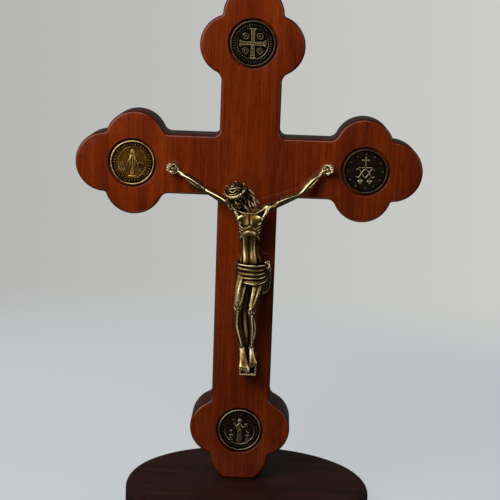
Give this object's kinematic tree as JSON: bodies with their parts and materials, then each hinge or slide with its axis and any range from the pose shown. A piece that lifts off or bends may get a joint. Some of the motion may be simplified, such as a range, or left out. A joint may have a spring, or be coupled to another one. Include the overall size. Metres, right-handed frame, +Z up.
{
  "type": "standing crucifix with medals",
  "caption": "Standing wooden crucifix: a budded cross on an oval wooden foot, with a cast metal corpus on its front and round cast medals let into its ends.",
  "frame": {"origin": "middle of the underside's plane, under the middle of the cross's width and of the foot's depth", "axes": "+Z up, +X to the right as seen from the front, the front with the corpus faces -Y"},
  "size_m": [0.1568, 0.095, 0.2477],
  "materials": {
    "base_wood": "dark stained and varnished, semi-gloss",
    "board_wood": "reddish-brown stain with a semi-gloss varnish",
    "corpus_metal": "antiqued cast brass, dark in the hollows",
    "medal_metal": "antiqued struck brass, dark in the hollows"
  },
  "bodies": {
    "root": {"base": "base_wood", "cross": "board_wood", "corpus": "corpus_metal", "nail_left_hand": "corpus_metal", "nail_right_hand": "corpus_metal", "medal_top": "medal_metal", "medal_left": "medal_metal", "medal_right": "medal_metal", "medal_bottom": "medal_metal"}
  },
  "joints": []
}
